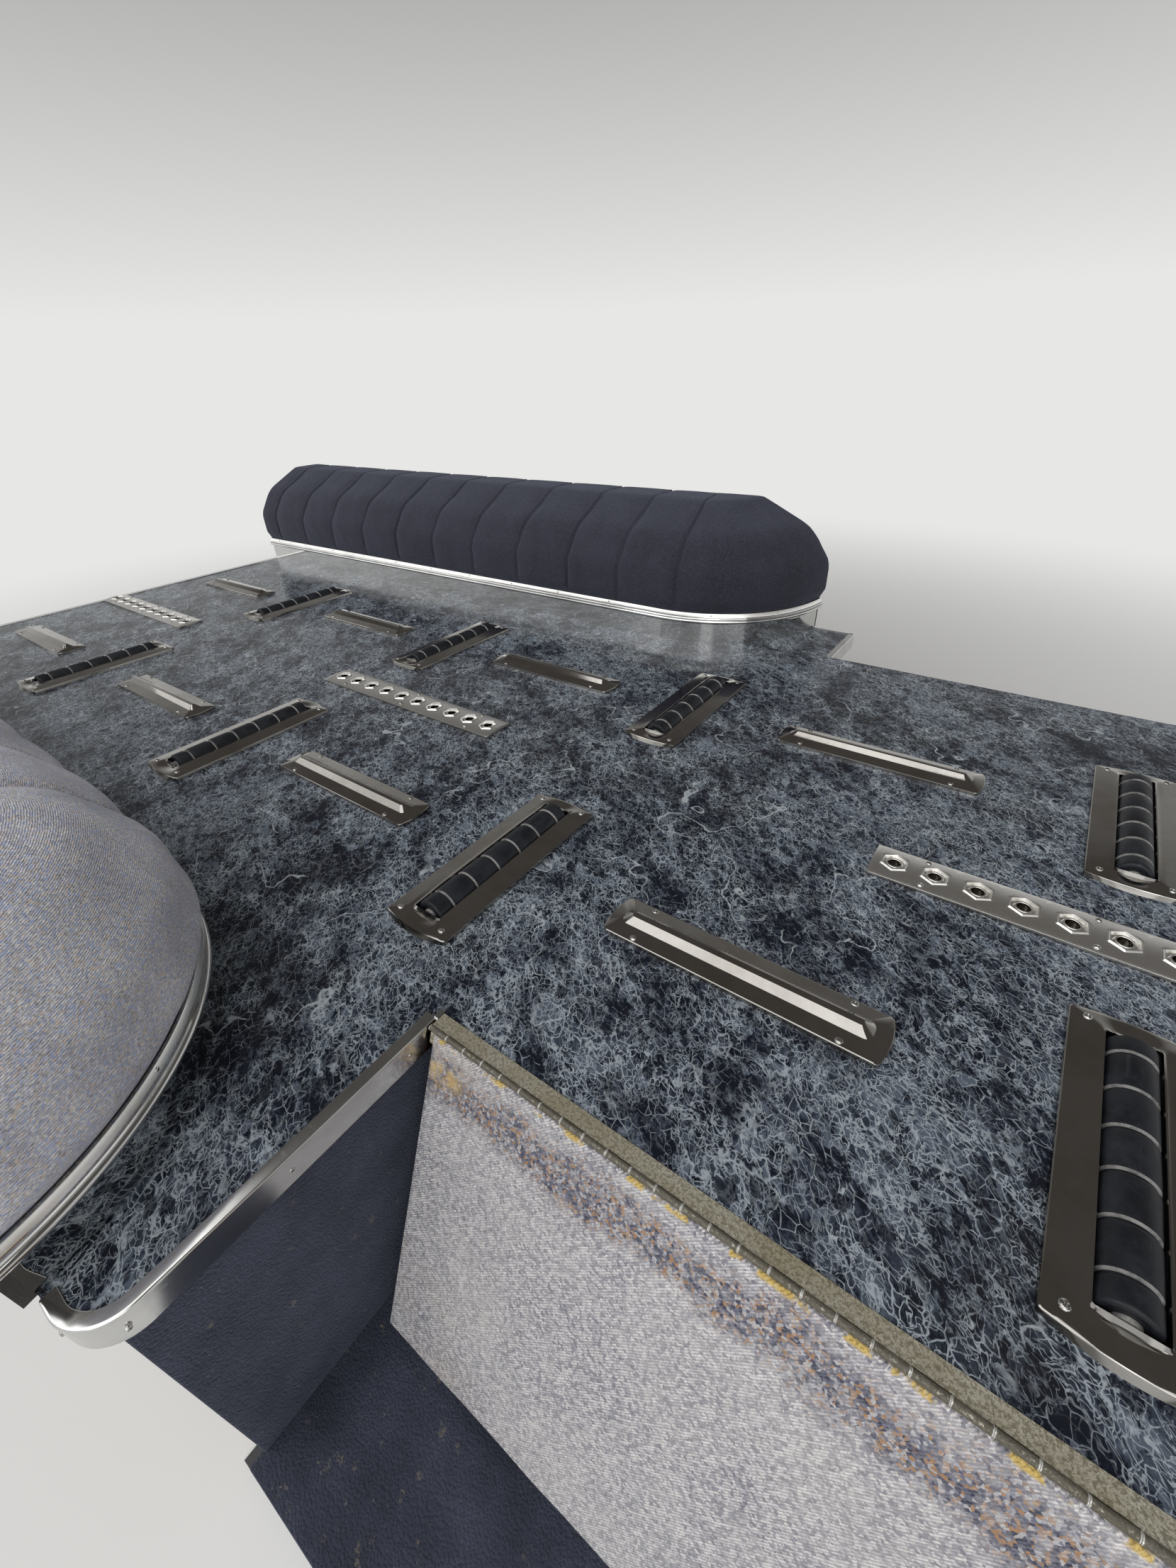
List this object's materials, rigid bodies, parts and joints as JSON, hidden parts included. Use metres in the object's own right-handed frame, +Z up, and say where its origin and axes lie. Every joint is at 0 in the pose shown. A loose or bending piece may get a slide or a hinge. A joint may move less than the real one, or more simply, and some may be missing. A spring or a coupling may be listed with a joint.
{
  "type": "hearse casket deck",
  "caption": "Hearse load floor with rubber casket rollers, chrome skid bars, pin-hole bier plates, padded wheelhouse covers and a side footwell with a hinged carpeted flap.",
  "frame": {"origin": "on the floor under the middle of the deck's length and width", "axes": "+X to the front of the vehicle, +Y to its left side, +Z up"},
  "size_m": [3, 1.76, 0.718],
  "materials": {
    "plywood": "bare plywood",
    "laminate": "dark marble-pattern high-pressure laminate",
    "chrome": "polished chrome, lightly scratched",
    "roller_rubber": "black rubber",
    "zinc_steel": "zinc-plated steel",
    "cover_velour": "navy velour over padding",
    "former_board": "dark oil-tempered hardboard",
    "mirror_steel": "mirror-polished stainless steel",
    "nosing_metal": "bright anodised aluminium, scratched",
    "hinge_brass": "aged brass plating",
    "tweed_carpet": "blue-grey ribbed carpet with rust-brown flecks",
    "navy_carpet": "navy cut-pile carpet",
    "frame_paint": "black painted steel"
  },
  "bodies": {
    "root": {"bier_plate_front": "chrome", "bier_plate_middle": "chrome", "bier_plate_rear": "chrome", "chrome_rail_left": "chrome", "chrome_rail_right": "chrome", "cover_former_left": "former_board", "cover_former_right": "former_board", "cover_pad_left": "cover_velour", "cover_pad_right": "cover_velour", "deck_board": "plywood", "deck_laminate": "laminate", "hinge_leaf_deck": "hinge_brass", "hinge_pin": "zinc_steel", "kick_band_left": "mirror_steel", "kick_band_right": "mirror_steel", "nosing_left": "nosing_metal", "nosing_right": "nosing_metal", "rear_sill": "mirror_steel", "roller_axles": "zinc_steel", "roller_bezel_1_left": "chrome", "roller_bezel_1_right": "chrome", "roller_bezel_2_left": "chrome", "roller_bezel_2_right": "chrome", "roller_bezel_3_left": "chrome", "roller_bezel_3_right": "chrome", "roller_bezel_4_left": "chrome", "roller_bezel_4_right": "chrome", "roller_pans": "zinc_steel", "skid_bar_1_left": "chrome", "skid_bar_1_right": "chrome", "skid_bar_2_left": "chrome", "skid_bar_2_right": "chrome", "skid_bar_3_left": "chrome", "skid_bar_3_right": "chrome", "skid_bar_4_left": "chrome", "skid_bar_4_right": "chrome", "subframe_cross_members": "frame_paint", "subframe_legs": "frame_paint", "subframe_outriggers": "frame_paint", "subframe_posts": "frame_paint", "subframe_rails": "frame_paint", "well_floor_carpet": "navy_carpet", "well_floor_pan": "frame_paint", "well_front_wall": "plywood", "well_inner_wall": "plywood", "well_rear_carpet": "navy_carpet", "well_rear_wall": "plywood"},
    "roller_1_left": {"roller_1_left": "roller_rubber"},
    "roller_1_right": {"roller_1_right": "roller_rubber"},
    "roller_2_left": {"roller_2_left": "roller_rubber"},
    "roller_2_right": {"roller_2_right": "roller_rubber"},
    "roller_3_left": {"roller_3_left": "roller_rubber"},
    "roller_3_right": {"roller_3_right": "roller_rubber"},
    "roller_4_left": {"roller_4_left": "roller_rubber"},
    "roller_4_right": {"roller_4_right": "roller_rubber"},
    "flap": {"flap_panel": "plywood", "flap_carpet": "tweed_carpet", "hinge_leaf_flap": "hinge_brass"}
  },
  "joints": [
    {"name": "roller_spin_1_left", "type": "hinge", "parent": "root", "child": "roller_1_left", "pos_m": [-0.857, 0.2845, 0.415], "axis": [0, 1, 0], "continuous": true},
    {"name": "roller_spin_1_right", "type": "hinge", "parent": "root", "child": "roller_1_right", "pos_m": [-0.857, -0.2845, 0.415], "axis": [0, 1, 0], "continuous": true},
    {"name": "roller_spin_2_left", "type": "hinge", "parent": "root", "child": "roller_2_left", "pos_m": [-0.174, 0.2845, 0.415], "axis": [0, 1, 0], "continuous": true},
    {"name": "roller_spin_2_right", "type": "hinge", "parent": "root", "child": "roller_2_right", "pos_m": [-0.174, -0.2845, 0.415], "axis": [0, 1, 0], "continuous": true},
    {"name": "roller_spin_3_left", "type": "hinge", "parent": "root", "child": "roller_3_left", "pos_m": [0.508, 0.2845, 0.415], "axis": [0, 1, 0], "continuous": true},
    {"name": "roller_spin_3_right", "type": "hinge", "parent": "root", "child": "roller_3_right", "pos_m": [0.508, -0.2845, 0.415], "axis": [0, 1, 0], "continuous": true},
    {"name": "roller_spin_4_left", "type": "hinge", "parent": "root", "child": "roller_4_left", "pos_m": [1.235, 0.2845, 0.415], "axis": [0, 1, 0], "continuous": true},
    {"name": "roller_spin_4_right", "type": "hinge", "parent": "root", "child": "roller_4_right", "pos_m": [1.235, -0.2845, 0.415], "axis": [0, 1, 0], "continuous": true},
    {"name": "flap_fold", "type": "hinge", "parent": "root", "child": "flap", "pos_m": [1.05, -0.531, 0.41575], "axis": [-1, 0, 0], "range_deg": [0, 67.4]}
  ]
}
